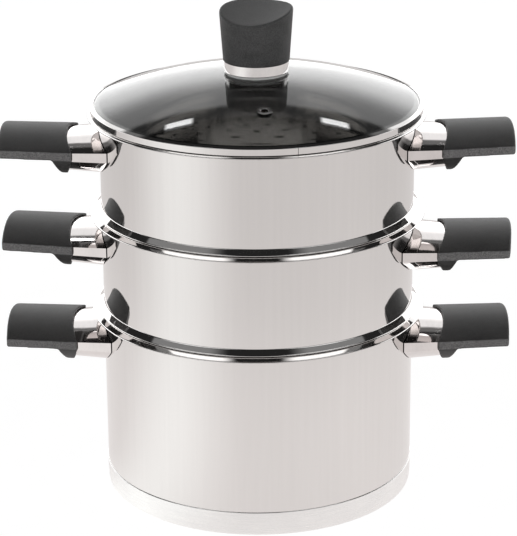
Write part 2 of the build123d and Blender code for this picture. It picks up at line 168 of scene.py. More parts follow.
def noise(sheet, place, scale, stretch=(1, 1, 1), detail=3.0, roughness=0.55):
    """Noise of a number of spots to the metre, drawn out along an axis by a small stretch."""
    stretched = sheet.node("ShaderNodeMapping", {}, {"Vector": place, "Scale": stretch})
    values = {"Vector": stretched, "Scale": scale, "Detail": detail, "Roughness": roughness}
    return sheet.node("ShaderNodeTexNoise", {}, values, out="Fac")


def lathe_noise(sheet, place, rings, arcs):
    """Noise that is fine across a turned surface and long round the axis."""
    axes = sheet.node("ShaderNodeSeparateXYZ", {}, {0: place}).socket.node
    x, y, z = (Wire(sheet, axes.outputs[i]) for i in range(3))
    flat = sheet.node("ShaderNodeCombineXYZ", {}, {0: x, 1: y})
    radius = sheet.node("ShaderNodeVectorMath", {"operation": "LENGTH"}, {0: flat}, out="Value")
    around = x.math("ARCTAN2", y, x)
    across = sheet.node(
        "ShaderNodeCombineXYZ",
        {},
        {0: radius * rings, 1: z * rings, 2: around.math("COSINE", around) * arcs},
    )
    values = {"Vector": across, "W": around.math("SINE", around) * arcs, "Scale": 1.0, "Detail": 2.0}
    return sheet.node("ShaderNodeTexNoise", {"noise_dimensions": "4D"}, values, out="Fac")


def bump(sheet, height, distance):
    """A surface raised by a height from 0 to 1 times a distance in metres."""
    return sheet.node("ShaderNodeBump", {}, {"Height": height, "Distance": distance})


def material(name):
    """A new material, and its sheet."""
    made = bpy.data.materials.new(name)
    made.use_nodes = True
    return made, Sheet(made.node_tree)


def finish(sheet, values):
    """Close a material: one shader with these values, and the output."""
    shader = sheet.node("ShaderNodeBsdfPrincipled", {}, values)
    sheet.node("ShaderNodeOutputMaterial", {}, {"Surface": shader})


print("noise runs evenly, along an axis or round it")

# %% [markdown]
# ## Polished steel
# The vessels are pressed from stainless sheet and polished until they mirror the room. Bare stainless
# is a little warm next to chrome. The polish leaves faint lines up the wall, which blur a reflection
# slightly along them, and the tone drifts slowly over the sheet. The colour and the roughness carry
# both, and the metal itself does the rest by reflecting its surroundings.

# %% Polished walls


def polished_steel(name, warm, cool, blur):
    """Steel between two tones, whose polish leaves faint lines up the wall."""
    made, sheet = material(name)
    place = object_place(sheet)
    lines = noise(sheet, place, 260, (1, 1, 0.03), detail=4)
    drift = noise(sheet, place, 9, (1, 1, 0.25), detail=2)
    share = sheet.remap(0.65 * drift + 0.35 * lines, 0.4, 0.62)
    roughness = sheet.remap(lines, 0.3, 0.7, blur * 0.7, blur * 1.3)
    values = {
        "Base Color": sheet.blend(share, warm, cool),
        "Metallic": 1.0,
        "Roughness": roughness,
        "Normal": bump(sheet, lines, 4 * micron),
    }
    finish(sheet, values)
    return made


wall_steel = polished_steel("polished_steel", (0.8, 0.785, 0.775, 1), (0.775, 0.76, 0.75, 1), 0.045)
print("material:", wall_steel.name)

# %% [markdown]
# ## Satin steel
# The base cap and the steamer floors are finished on the lathe with a coarser cloth. Their lines run
# round the axis, and the surface spreads the light instead of mirroring it.

# %% Satin, turned


def satin_steel(name, light, dark, blur):
    """Metal between two tones, with fine lines round the axis."""
    made, sheet = material(name)
    place = object_place(sheet)
    rings = lathe_noise(sheet, place, 4200, 5)
    cloudy = noise(sheet, place, 40, detail=3)
    share = sheet.remap(0.6 * rings + 0.4 * cloudy, 0.35, 0.65)
    values = {
        "Base Color": sheet.blend(share, light, dark),
        "Metallic": 1.0,
        "Roughness": sheet.remap(rings, 0.3, 0.7, blur * 0.85, blur * 1.15),
        "Normal": bump(sheet, rings, 12 * micron),
    }
    finish(sheet, values)
    return made


cap_steel = satin_steel("satin_cap", (0.95, 0.95, 0.94, 1), (0.87, 0.87, 0.87, 1), 0.28)
floor_steel = satin_steel("satin_floor", (0.66, 0.635, 0.61, 1), (0.56, 0.535, 0.51, 1), 0.12)
plate_steel = satin_steel("plain_plate", (0.56, 0.56, 0.57, 1), (0.5, 0.5, 0.51, 1), 0.32)
print("materials:", cap_steel.name, floor_steel.name, plate_steel.name)

# %% [markdown]
# ## Chrome
# The sleeves at the handles, the collar and the vent's eyelet are plated. Plate mirrors more sharply
# than polished steel, and what gives it away as a used surface is a faint haze left by the cloth.

# %% Bright plate


def chrome(name, bright, hazy):
    """Bright plate with a faint haze."""
    made, sheet = material(name)
    place = object_place(sheet)
    haze = noise(sheet, place, 55, detail=4)
    wipe = noise(sheet, place, 420, (1, 0.15, 0.4), detail=2)
    share = sheet.remap(0.7 * haze + 0.3 * wipe, 0.42, 0.62)
    values = {
        "Base Color": sheet.blend(share, bright, hazy),
        "Metallic": 1.0,
        "Roughness": sheet.remap(share, 0.0, 1.0, 0.035, 0.07),
        "Normal": bump(sheet, haze, 10 * micron),
    }
    finish(sheet, values)
    return made


sleeve_chrome = chrome("sleeve_chrome", (0.78, 0.745, 0.735, 1), (0.73, 0.7, 0.69, 1))
bright_chrome = chrome("bright_chrome", (0.82, 0.8, 0.79, 1), (0.77, 0.755, 0.75, 1))
print("materials:", sleeve_chrome.name, bright_chrome.name)

# %% [markdown]
# ## Grained plastic
# Grips and knob are moulded in a hard dark plastic. The mould is spark-eroded, which leaves a grain of
# under a millimetre, so the surface looks matt face on and brightens at a glancing angle. A fine noise
# is the grain, and a slow one lets the tone drift, which keeps it from looking like paint. The upright
# flanks of a grip get a paler tone, broken by the grain: that is painted light from the front, so there
# the colour follows the face's own direction.

# %% Dark moulding
grain_height = 120 * micron
grain_to_the_metre = 1300


def moulded_plastic(name, deep, worn, lit_flank=None):
    """Grained plastic between two tones. Its upright faces can get a paler tone, painted light from the
    front.
    """
    made, sheet = material(name)
    place = object_place(sheet)
    grain = noise(sheet, place, grain_to_the_metre, detail=2, roughness=0.7)
    flow = noise(sheet, place, 26, (1, 1, 2.2), detail=3)
    share = sheet.remap(0.35 * flow + 0.65 * grain, 0.4, 0.6)
    tone = sheet.blend(share, deep, worn)
    # painted light: upright faces take the paler tone, as if lit from the front, broken by the grain
    if lit_flank:
        facing = sheet.node("ShaderNodeTexCoord", out="Normal")
        axes = sheet.node("ShaderNodeSeparateXYZ", {}, {0: facing}).socket.node
        upright = sheet.remap(Wire(sheet, axes.outputs[2]).size(), 0.45, 0.2, smooth=True)
        speckle = sheet.remap(grain, 0.4, 0.62, 0.35, 1.0)
        tone = sheet.blend(upright * speckle, tone, lit_flank)
    values = {
        "Base Color": tone,
        "Roughness": sheet.remap(grain, 0.3, 0.7, 0.46, 0.6),
        "Specular IOR Level": 0.28,
        "Normal": bump(sheet, grain, grain_height),
    }
    finish(sheet, values)
    return made


# the third grip tone is painted light from the front, laid on the grips' upright flanks
grip_tones_and_lit_flank = ((0.029, 0.0283, 0.0282, 1), (0.058, 0.0563, 0.0557, 1), (0.2, 0.195, 0.195, 1))
knob_tones = ((0.043, 0.043, 0.0435, 1), (0.088, 0.087, 0.087, 1))
grip_plastic = moulded_plastic("grip_plastic", *grip_tones_and_lit_flank)
knob_plastic = moulded_plastic("knob_plastic", *knob_tones)
print("materials:", grip_plastic.name, knob_plastic.name)

# %% [markdown]
# ## Lid glass
# Tempered soda glass, four millimetres thick and clear. A solid with both its faces bends and mirrors
# the light as the real lid does. Washing leaves a faint film, which is a touch of roughness in clouds.

# %% Clear glass
lid_clear, sheet = material("lid_glass")
film = noise(sheet, object_place(sheet), 30, detail=4)
finish(
    sheet,
    {
        "Base Color": (0.97, 0.985, 0.98, 1),
        "Roughness": sheet.remap(film, 0.45, 0.75, 0.0, 0.012),
        "IOR": 1.5,
        "Transmission Weight": 1.0,
    },
)
print("material:", lid_clear.name)

# %% [markdown]
# ## Silicone, brass and aluminium
# These are mostly hidden, but the lid shows its gaskets from below and through the glass. Silicone is
# soft and slightly cloudy, the insert is turned brass, and the core is cast.

# %% Small materials


def soft_silicone(name, light, dark):
    """Soft rubber, slightly cloudy."""
    made, sheet = material(name)
    cloud = noise(sheet, object_place(sheet), 300, detail=3)
    values = {
        "Base Color": sheet.blend(cloud, light, dark),
        "Roughness": sheet.remap(cloud, 0.3, 0.7, 0.5, 0.65),
        "Normal": bump(sheet, cloud, 20 * micron),
    }
    finish(sheet, values)
    return made


silicone = soft_silicone("silicone", (0.62, 0.62, 0.61, 1), (0.5, 0.5, 0.49, 1))
brass = satin_steel("turned_brass", (0.78, 0.6, 0.3, 1), (0.68, 0.5, 0.24, 1), 0.28)
cast_core = satin_steel("cast_aluminium", (0.74, 0.74, 0.75, 1), (0.64, 0.64, 0.65, 1), 0.5)
print("materials:", silicone.name, brass.name, cast_core.name)

# %% Each drawn part gets its finish
finishes = {
    "pot_shell": wall_steel,
    "middle_wall": wall_steel,
    "top_wall": wall_steel,
    "lid_band": wall_steel,
    "pot_base_cap": cap_steel,
    "middle_floor": floor_steel,
    "top_floor": floor_steel,
    "pot_base_core": cast_core,
    "lid_glass": lid_clear,
    "vent_eyelet": bright_chrome,
    "knob_collar": bright_chrome,
    "knob_grip": knob_plastic,
    "knob_insert": brass,
    "knob_gasket": silicone,
    "screw_gasket": silicone,
    "lid_washer": plate_steel,
    "lid_screw": plate_steel,
}
for vessel in ("pot", "middle", "top"):
    finishes[f"{vessel}_handle_screws"] = plate_steel
    for side in ("left", "right"):
        finishes[f"{vessel}_bracket_{side}"] = plate_steel
        finishes[f"{vessel}_ferrule_{side}"] = sleeve_chrome
        finishes[f"{vessel}_grip_{side}"] = grip_plastic
for name, part in parts.items():
    part.data.materials.clear()
    part.data.materials.append(finishes[name])
print("finished parts:", len(finishes))

# %% [markdown]
# ## Turning sheet metal
# A pot's wall, its insert and the base cap are each one sheet, pressed while it spins. So their shape is
# one section swept round the axis. Spin in bmesh would do, but a node tree keeps the section editable:
# the object's own mesh is the section, and the tree sweeps it round a circle, closes the pole and
# marks the creases. We draw the section as a line with rounded corners and give it the gauge of the
# sheet on both sides. Small arcs next to long flats need a holding point, or smooth shading would bend
# the flats too.

# %% The section of a bent sheet
arc_step = math.radians(11)
holding = 0.35 * millimetre
nose_steps = 6


def bent_line(corners, bends):
    """Points along a line with rounded corners, each with the direction that the line runs there."""
    places = [Vector(corner) for corner in corners]
    run = [(places[0], (places[1] - places[0]).normalized())]
    for before, corner, after, bend in zip(places, places[1:], places[2:], bends):
        arrive, leave = (corner - before).normalized(), (after - corner).normalized()
        turn = arrive.angle_signed(leave) * -1
        reach = bend * math.tan(abs(turn) / 2)
        hold = min(holding, bend / 2)
        side = Vector((-arrive.y, arrive.x)) * math.copysign(1, turn)
        middle = corner - arrive * reach + side * bend
        run.append((corner - arrive * (reach + hold), arrive))
        steps = max(4, math.ceil(abs(turn) / arc_step))
        for step in range(steps + 1):
            angle = turn * step / steps
            heading = Matrix.Rotation(angle, 2) @ arrive
            outward = Vector((-heading.y, heading.x)) * -math.copysign(1, turn)
            run.append((middle + outward * bend, heading))
        run.append((corner + leave * (reach + hold), leave))
    run.append((places[-1], (places[-1] - places[-2]).normalized()))
    return run


def sheet_section(corners, bends, gauge):
    """Closed outline of a sheet of a gauge that follows a bent line, with a rounded last edge."""
    run = bent_line(corners, bends)
    end, heading = run.pop()
    middle = end - heading * gauge / 2
    left, right = [], []
    for place, along in run + [(middle, heading)]:
        aside = Vector((-along.y, along.x)) * gauge / 2
        left.append(place + aside)
        right.append(place - aside)
    aside = Vector((-heading.y, heading.x)) * gauge / 2
    arc = [-math.pi * step / nose_steps for step in range(1, nose_steps)]
    nose = [Matrix.Rotation(angle, 2) @ aside + middle for angle in arc]
    return left + nose + right[::-1]


print("arcs turn by", round(math.degrees(arc_step)), "degrees or less at a step")

# %% A tree that sweeps the section round the axis


def new_tree(name, inputs):
    """An empty geometry tree with named inputs after the geometry that it works on."""
    tree = bpy.data.node_groups.new(name, "GeometryNodeTree")
    tree.is_modifier = True
    tree.interface.new_socket("Geometry", in_out="INPUT", socket_type="NodeSocketGeometry")
    tree.interface.new_socket("Geometry", in_out="OUTPUT", socket_type="NodeSocketGeometry")
    for title, kind in inputs.items():
        tree.interface.new_socket(title, in_out="INPUT", socket_type=kind)
    sheet = Sheet(tree)
    given = tree.nodes.new("NodeGroupInput")
    return tree, sheet, {socket.name: Wire(sheet, socket) for socket in given.outputs if socket.name}


def close_tree(sheet, shape, finish_wire, crease):
    """End a tree: real geometry, smooth but for its creases, with its finish set."""
    real = sheet.node("GeometryNodeRealizeInstances", {}, {0: shape})
    smooth = sheet.node("GeometryNodeSetShadeSmooth", {"domain": "FACE"}, {0: real, 2: True})
    fold = sheet.node("GeometryNodeInputMeshEdgeAngle") > crease
    sharp = {0: smooth, 1: fold, 2: False}
    creased = sheet.node("GeometryNodeSetShadeSmooth", {"domain": "EDGE"}, sharp)
    dressed = sheet.node("GeometryNodeSetMaterial", {}, {0: creased, 2: finish_wire})
    sheet.node("NodeGroupOutput", {}, {0: dressed})


def run_tree(name, mesh, tree, values):
    """Run a tree on a mesh and keep the plain mesh that it makes, as an object at the origin."""
    maker = bpy.data.objects.new(f"{name}_maker", mesh)
    scene.collection.objects.link(maker)
    modifier = maker.modifiers.new("shape", "NODES")
    modifier.node_group = tree
    for item in tree.interface.items_tree:
        if item.item_type == "SOCKET" and item.in_out == "INPUT" and item.name in values:
            modifier[item.identifier] = values[item.name]
    made = bpy.data.meshes.new_from_object(maker.evaluated_get(bpy.context.evaluated_depsgraph_get()))
    maker.modifiers.remove(modifier)
    bpy.data.objects.remove(maker)
    piece = bpy.data.objects.new(name, made)
    scene.collection.objects.link(piece)
    return piece


lathe, sheet, given = new_tree(
    "lathe",
    {
        "Path radius": "NodeSocketFloat",
        "Steps": "NodeSocketInt",
        "Crease": "NodeSocketFloat",
        "Finish": "NodeSocketMaterial",
    },
)
path = {"Resolution": given["Steps"], "Radius": given["Path radius"]}
circle = sheet.node("GeometryNodeCurvePrimitiveCircle", {}, path)
level = sheet.node("GeometryNodeSetCurveNormal", {"mode": "Z_UP"}, {0: circle})
section = sheet.node("GeometryNodeMeshToCurve", {}, {0: given["Geometry"]})
turned = sheet.node("GeometryNodeCurveToMesh", {}, {0: level, 1: section})
closed = sheet.node("GeometryNodeMergeByDistance", {}, {0: turned, "Distance": micron})
close_tree(sheet, closed, given["Finish"], given["Crease"])
print("tree:", lathe.name, len(lathe.nodes), "nodes")

# %% Turning a section
path_radius = 50 * millimetre
wall_steps = 240
crease = math.radians(40)


def turn_sheet(name, section, finish):
    """Turn a section, given in metres as (radius, height), into a closed sheet round the axis."""
    outline = bpy.data.meshes.new(f"{name}_section")
    points = [(radius - path_radius, -height, 0) for radius, height in section]
    ends_on_axis = section[0][0] + section[-1][0] == 0
    edges = [(i, i + 1) for i in range(len(points) - 1)]
    if not ends_on_axis:
        edges.append((len(points) - 1, 0))
    outline.from_pydata(points, edges, [])
    values = {"Path radius": path_radius, "Steps": wall_steps, "Crease": crease, "Finish": finish}
    return run_tree(name, outline, lathe, values)


print("a turned wall has", wall_steps, "steps round the axis")

# %% [markdown]
# ## The walls
# Every vessel ends in the same flared rim: the sheet bends out, slopes down and is trimmed with a small
# curl. An insert stands in the rim below on a sloping shoulder. Under it hangs a skirt that follows
# the rim below out to a folded lip, so the joint reads as a dark line round the pot. The sections give
# all of that as a few corners and their bends, with the sizes that the drawn parts have. Only the lip
# and its shoulder differ: the photograph shows them a little shorter and steeper than they are drawn.

# %% The pot's wall and its rim
gauge = 0.6 * millimetre
inner_radius = 120.2 * millimetre
wall_line = inner_radius + gauge / 2
rim_slope = math.radians(21.6)
rim_bend, rim_curl = 1.5 * millimetre, 0.6 * millimetre
rim_reach, rim_drop = 8.7 * millimetre, 0.5 * millimetre


def rim_corner(crown):
    """The height at which the wall's line meets the rim's slope."""
    return crown - rim_bend - gauge / 2 + rim_bend * math.tan((math.pi / 2 + rim_slope) / 2)


def rim_corners(crown):
    """The corners of a rim whose highest point is the crown."""
    edge = rim_corner(crown) - rim_reach * math.tan(rim_slope)
    outer = wall_line + rim_reach
    return [(wall_line, rim_corner(crown)), (outer, edge), (outer, edge - rim_drop)]


def dress(piece, body, slot, *nodes):
    """Hide the drawn parts that a piece stands for and attach it to the body it moves with. The slot is
    not used.
    """
    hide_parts(*nodes)
    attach(piece, body)
    print(piece.name, "stands for", *nodes, "with", len(piece.data.polygons), "faces")


pot_crown = 148.1 * millimetre
pot_floor = 6.95 * millimetre
pot_corner = 11.7 * millimetre
pot_line = [(0, pot_floor), (wall_line, pot_floor)] + rim_corners(pot_crown)
pot_section = sheet_section(pot_line, [pot_corner, rim_bend, rim_curl], gauge)
pot_wall = turn_sheet("pot_wall", pot_section, wall_steel)
dress(pot_wall, "pot", "polished_steel", "pot_shell")

# %% The inserts' walls
tier_height = 78.2 * millimetre
skirt_radius = 119.6 * millimetre
skirt_depth, ledge_width = 13 * millimetre, 9.3 * millimetre
lip_radius = wall_line + 5.9 * millimetre
shoulder_slope = math.radians(39)
seat_rise = gauge + 0.3 * millimetre
skirt_bends = [size * millimetre for size in (2.5, 2.4, 0.31, 1.0)]


def foot_height(below):
    """The height of an insert's ledge, over the rim whose crown is below."""
    inwards = (wall_line - skirt_radius) * math.tan(rim_slope)
    return rim_corner(below) + seat_rise / math.cos(rim_slope) + inwards - skirt_depth


def insert_wall(name, below):
    """An insert from its ledge, skirt and folded lip up its shoulder and wall to its rim."""
    foot = foot_height(below)
    nest = foot + skirt_depth
    lip = nest - (lip_radius - skirt_radius) * math.tan(rim_slope)
    shoulder = lip + (lip_radius - wall_line) * math.tan(shoulder_slope)
    corners = [(skirt_radius - ledge_width, foot), (skirt_radius, foot), (skirt_radius, nest)]
    corners += [(lip_radius, lip), (wall_line, shoulder)] + rim_corners(below + tier_height)
    bends = skirt_bends + [rim_bend, rim_curl]
    return turn_sheet(name, sheet_section(corners, bends, gauge), wall_steel)


middle_crown = pot_crown + tier_height
middle_wall = insert_wall("middle_insert_wall", pot_crown)
dress(middle_wall, "middle_steamer", "polished_steel", "middle_wall")
top_wall = insert_wall("top_insert_wall", middle_crown)
dress(top_wall, "top_steamer", "polished_steel", "top_wall")

# %% The base cap
cap_foot, cap_mouth, cap_height, cap_bend = (size * millimetre for size in (120.25, 121.15, 19.4, 2.2))
cap_line = [(0, gauge / 2), (cap_foot, gauge / 2), (cap_mouth, cap_height)]
base_cap = turn_sheet("base_cap", sheet_section(cap_line, [cap_bend], gauge), cap_steel)
dress(base_cap, "pot", "satin_steel", "pot_base_cap")

# %% [markdown]
# ## The perforated floors
# Steam rises through rings of punched holes. Holes that follow a rule are work for a node tree: one ring
# of points for each circle, a small circle on every point, and all of them inside the floor's own edge.
# Filling curves that lie inside one another leaves the inner ones open, so no cutting is needed.
# Extruding the filled face gives the sheet's thickness, and the first face, turned over, closes it.
# Every ring has six holes more than the one inside it, as cells in a honeycomb do. So the number of a
# hole, counted from the middle, gives its ring by the root of a square, rounded up.

# %% Tree of a punched disc
punched, sheet, given = new_tree(
    "punched_disc",
    {
        "Radius": "NodeSocketFloat",
        "Hole radius": "NodeSocketFloat",
        "Ring spacing": "NodeSocketFloat",
        "Rings": "NodeSocketInt",
        "Height": "NodeSocketFloat",
        "Gauge": "NodeSocketFloat",
        "Turn": "NodeSocketFloat",
        "Crease": "NodeSocketFloat",
        "Finish": "NodeSocketMaterial",
    },
)
rounding = 0.0001
order = sheet.node("GeometryNodeInputIndex")
ring = ((12 * order + 9).root() - 3) / 6 - rounding
ring = ring.math("CEIL", ring)
place_in_ring = order - (3 * ring * (ring - 1) + 1)
angle = given["Turn"] + 2 * math.pi * place_in_ring / (6 * ring).at_least(1)
reach = ring * given["Ring spacing"]
x, y = (reach * angle.math(wave, angle) for wave in ("COSINE", "SINE"))
spot = sheet.node("ShaderNodeCombineXYZ", {}, {0: x, 1: y})
count = 3 * given["Rings"] * (given["Rings"] + 1) + 1
spots = sheet.node("GeometryNodePoints", {}, {"Count": count, "Position": spot})
hole_circle = {"Resolution": 20, "Radius": given["Hole radius"]}
hole = sheet.node("GeometryNodeCurvePrimitiveCircle", {}, hole_circle)
edge_circle = {"Resolution": 180, "Radius": given["Radius"]}
edge = sheet.node("GeometryNodeCurvePrimitiveCircle", {}, edge_circle)
holes = sheet.node("GeometryNodeInstanceOnPoints", {}, {"Points": spots, "Instance": hole})
outlines = sheet.join(edge, sheet.node("GeometryNodeRealizeInstances", {}, {0: holes}))
face = sheet.node("GeometryNodeFillCurve", {"mode": "NGONS"}, {0: outlines})
lift = sheet.node("ShaderNodeCombineXYZ", {}, {2: given["Height"]})
face = sheet.node("GeometryNodeTransform", {}, {0: face, "Translation": lift})
thickness = {0: face, "Offset Scale": given["Gauge"], "Individual": False}
raised = sheet.node("GeometryNodeExtrudeMesh", {"mode": "FACES"}, thickness)
closed = sheet.join(raised, sheet.node("GeometryNodeFlipFaces", {}, {0: face}))
closed = sheet.node("GeometryNodeMergeByDistance", {}, {0: closed, "Distance": micron})
close_tree(sheet, closed, given["Finish"], given["Crease"])
print("tree:", punched.name, len(punched.nodes), "nodes")

# %% Both floors, with the edges of their holes broken


def punched_floor(name, below, turn):
    """A floor on the ledge of the insert that stands on the rim whose crown is below."""
    values = {
        "Radius": 116.8 * millimetre,
        "Hole radius": 2.75 * millimetre,
        "Ring spacing": 23 * millimetre,
        "Rings": 4,
        "Height": foot_height(below) + gauge / 2,
        "Gauge": gauge,
        "Turn": math.radians(turn),
        "Crease": crease,
        "Finish": floor_steel,
    }
    plate = run_tree(name, bpy.data.meshes.new(f"{name}_seed"), punched, values)
    broken = plate.modifiers.new("broken_edge", "BEVEL")
    broken.width, broken.segments = 0.15 * millimetre, 2
    return plate


pot_turn, middle_turn, top_turn = -1, -4, 0.3
middle_floor = punched_floor("middle_perforated_floor", pot_crown, middle_turn)
dress(middle_floor, "middle_steamer", "satin_steel", "middle_floor")
top_floor = punched_floor("top_perforated_floor", middle_crown, top_turn)
dress(top_floor, "top_steamer", "satin_steel", "top_floor")

# %% [markdown]
# ## The handle screws
# Each grip is held by one pan-head screw from below, the same in all six. A screw is a turned section
# with a cross pressed into its head. One tree turns it, cuts the cross and sets a copy under each handle.

# %% Tree of a pair of screws
screw_pair, sheet, given = new_tree(
    "screw_pair",
    {
        "Reach": "NodeSocketFloat",
        "Height": "NodeSocketFloat",
        "Turn": "NodeSocketFloat",
        "Cross length": "NodeSocketFloat",
        "Cross width": "NodeSocketFloat",
        "Cross depth": "NodeSocketFloat",
        "Crease": "NodeSocketFloat",
        "Finish": "NodeSocketMaterial",
    },
)
values = {name: given[name] for name in ("Geometry", "Crease", "Finish")}
values.update({"Path radius": path_radius, "Steps": 40})
blank = sheet.node("GeometryNodeGroup", {"node_tree": lathe}, values)
bars = []
for long, wide in (("Cross length", "Cross width"), ("Cross width", "Cross length")):
    sides = {0: given[long], 1: given[wide], 2: 2 * given["Cross depth"]}
    size = sheet.node("ShaderNodeCombineXYZ", {}, sides)
    bars.append(sheet.node("GeometryNodeMeshCube", {}, {"Size": size}))
cut = sheet.node("GeometryNodeMeshBoolean", {"operation": "DIFFERENCE", "solver": "EXACT"}, {0: blank})
for bar in bars:
    sheet.tree.links.new(bar.socket, cut.socket.node.inputs[1])
angle = given["Turn"] + math.pi * sheet.node("GeometryNodeInputIndex")
x, y = (given["Reach"] * angle.math(wave, angle) for wave in ("COSINE", "SINE"))
spot = sheet.node("ShaderNodeCombineXYZ", {}, {0: x, 1: y, 2: given["Height"]})
spots = sheet.node("GeometryNodePoints", {}, {"Count": 2, "Position": spot})
first_slant = 0.4
slant = sheet.node("ShaderNodeCombineXYZ", {}, {2: first_slant + sheet.node("GeometryNodeInputIndex")})
placed = {"Points": spots, "Instance": cut, "Rotation": slant}
pair = sheet.node("GeometryNodeInstanceOnPoints", {}, placed)
close_tree(sheet, pair, given["Finish"], given["Crease"])
print("tree:", screw_pair.name, len(screw_pair.nodes), "nodes")

# %% A pair for each vessel
bodies = {
    "pot": ("pot", pot_turn),
    "middle": ("middle_steamer", middle_turn),
    "top": ("top_steamer", top_turn),
}
head_radius, head_height, shank_radius = (size * millimetre for size in (4.2, 2.2, 2.4))
screw_bends = [size * millimetre for size in (1.2, 0.5, 0.1, 0.1, 0.3)]
crown_share, dome_share = 0.7, 0.45
screw_reach = 181.0 * millimetre


def screw_section(name, length):
    """A screw's outline as a mesh of edges: its domed head, then its shank up to the axis."""
    corners = [(0, 0), (head_radius * crown_share, 0), (head_radius, head_height * dome_share)]
    corners += [(head_radius, head_height), (shank_radius, head_height)]
    corners += [(shank_radius, length), (0, length)]
    section = bpy.data.meshes.new(f"{name}_section")
    points = [(place.x - path_radius, -place.y, 0) for place, _ in bent_line(corners, screw_bends)]
    section.from_pydata(points, [(i, i + 1) for i in range(len(points) - 1)], [])
    return section


for vessel, (body, turn) in bodies.items():
    low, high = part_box(f"{vessel}_handle_screws")
    name = f"{vessel}_pan_head_screws"
    section = screw_section(name, high[2] - low[2])
    values = {
        "Reach": screw_reach,
        "Height": low[2],
        "Turn": math.radians(turn),
        "Cross length": 4.4 * millimetre,
        "Cross width": 0.9 * millimetre,
        "Cross depth": 1.1 * millimetre,
        "Crease": crease,
        "Finish": plate_steel,
    }
    dress(run_tree(name, section, screw_pair, values), body, "steel_plate", f"{vessel}_handle_screws")

# %% [markdown]
# ## The grips
# A compression moulding has no sharp edge: its mould is cut with a ball cutter. The drawn grip has the
# right body, so we let it be the clay. Its copy is remeshed into even cells of 0.8 mm and relaxed a
# little, which rounds every edge by about a cell, and keeps the faces where they are drawn. The knob
# comes from the same kind of mould, so it is rounded the same way, with smaller cells.

# %% Rounded grips and knob
grip_cell, knob_cell = 0.8 * millimetre, 0.6 * millimetre
weld_distance = 0.01 * millimetre


def softened(name, source, cell, rounds):
    """A copy of a drawn part, remeshed evenly and relaxed."""
    blank = bmesh.new()
    blank.from_mesh(parts[source].data)
    bmesh.ops.remove_doubles(blank, verts=blank.verts, dist=weld_distance)
    mesh = bpy.data.meshes.new(f"{name}_blank")
    blank.to_mesh(mesh)
    blank.free()
    clay = bpy.data.objects.new(f"{name}_clay", mesh)
    scene.collection.objects.link(clay)
    cells = clay.modifiers.new("cells", "REMESH")
    cells.mode, cells.voxel_size, cells.use_smooth_shade = "VOXEL", cell, True
    relax = clay.modifiers.new("relax", "SMOOTH")
    relax.factor, relax.iterations = 0.5, rounds
    made = bpy.data.meshes.new_from_object(clay.evaluated_get(bpy.context.evaluated_depsgraph_get()))
    bpy.data.objects.remove(clay)
    piece = bpy.data.objects.new(name, made)
    scene.collection.objects.link(piece)
    made.shade_smooth()
    made.materials.clear()
    return piece


for vessel, (body, _) in bodies.items():
    for side in ("left", "right"):
        grip = softened(f"{vessel}_moulded_grip_{side}", f"{vessel}_grip_{side}", grip_cell, 5)
        grip.data.materials.append(grip_plastic)
        dress(grip, body, "grip_plastic", f"{vessel}_grip_{side}")
knob = softened("lid_moulded_knob", "knob_grip", knob_cell, 12)
knob.data.materials.append(knob_plastic)
dress(knob, "lid", "grip_plastic", "knob_grip")

# %% [markdown]
# ## The studio
# A mirror shows the room, so the room is the larger half of this picture. Two long soft boxes hang over
# the pot's sides and draw the white bars on the rims, and two lamps behind them draw the short bars on
# the glass. The ceiling between them is dark, and the sky behind the pot is bright near the horizon.
# In front a low wall is lit, and the room above it is dim. A place in the room is given by its height
# and its bearing from the camera's side, and a place on the ceiling by how far it is aside and behind,
# for each metre of its height.

# %% Directions in the room
world = bpy.data.worlds.new("studio")
scene.world = world
world.use_nodes = True
sheet = Sheet(world.node_tree)
look = sheet.node("ShaderNodeTexCoord", out="Generated")
axes = sheet.node("ShaderNodeSeparateXYZ", {}, {0: look}).socket.node
x, y, z = (Wire(sheet, axes.outputs[i]) for i in range(3))
degree = math.pi / 180
height = z.math("ARCSINE", z) / degree
bearing = x.math("ARCTAN2", x, -1 * y) / degree
upwards = z.at_least(0.02)
aside = x.math("ABSOLUTE", x) / upwards
behind = y / upwards


def between(value, low, high, soft_low, soft_high):
    """One inside a range and nothing outside it, with an edge of its own at each end."""
    rise = sheet.remap(value, low - soft_low, low + soft_low, smooth=True)
    return rise * sheet.remap(value, high + soft_high, high - soft_high, smooth=True)


print("directions:", len(world.node_tree.nodes), "nodes")

# %% The soft boxes and lamps above
box_skew = 0.8
box_level, lamp_level = 1.8, 8
ceiling = z > 0.0
turned = behind - box_skew * aside
bright_length = between(turned, -1.05, -0.47, 0.03, 0.03)
whole_length = between(turned, -1.05, -0.2, 0.03, 0.03)
soft_boxes = between(aside, 0.29, 0.83, 0.09, 0.01) * ceiling
soft_boxes = soft_boxes * (0.87 * bright_length + 0.13 * whole_length)
lamps = between(aside, 0.24, 0.345, 0.01, 0.01) * between(behind, 1.0, 1.09, 0.01, 0.01) * ceiling
print("above: soft boxes at", box_level, "and lamps at", lamp_level)

# %% The sky behind and the wall in front
low_sky = sheet.remap(height, 30, 16, smooth=True) * (y > 0.0)
dim_sky = sheet.remap(behind, 0.96, 1.06, smooth=True)
bright_sky = sheet.remap(behind, 1.2, 1.32, smooth=True)
backdrop = 0.15 * dim_sky + 0.9 * bright_sky + 1.2 * low_sky
front_wall = between(bearing, -68, 76, 3, 3) * sheet.remap(height, 13, 9, smooth=True)
front_fall = 1 - 0.3 * sheet.remap(bearing, 10, 22, smooth=True)
front = 0.5 * front_wall * front_fall
print("behind and in front:", len(world.node_tree.nodes), "nodes so far")

# %% [markdown]
# ## Who sees which room
# The camera itself sees plain white. Matt plastic takes its light from a soft gradient, because the
# small bright lamps would only speckle it. Metal and glass mirror the room that is drawn above. The
# inside of the top insert mirrors it too, and would be far brighter than in the photograph, so what
# comes in through the lid's glass is dimmed.

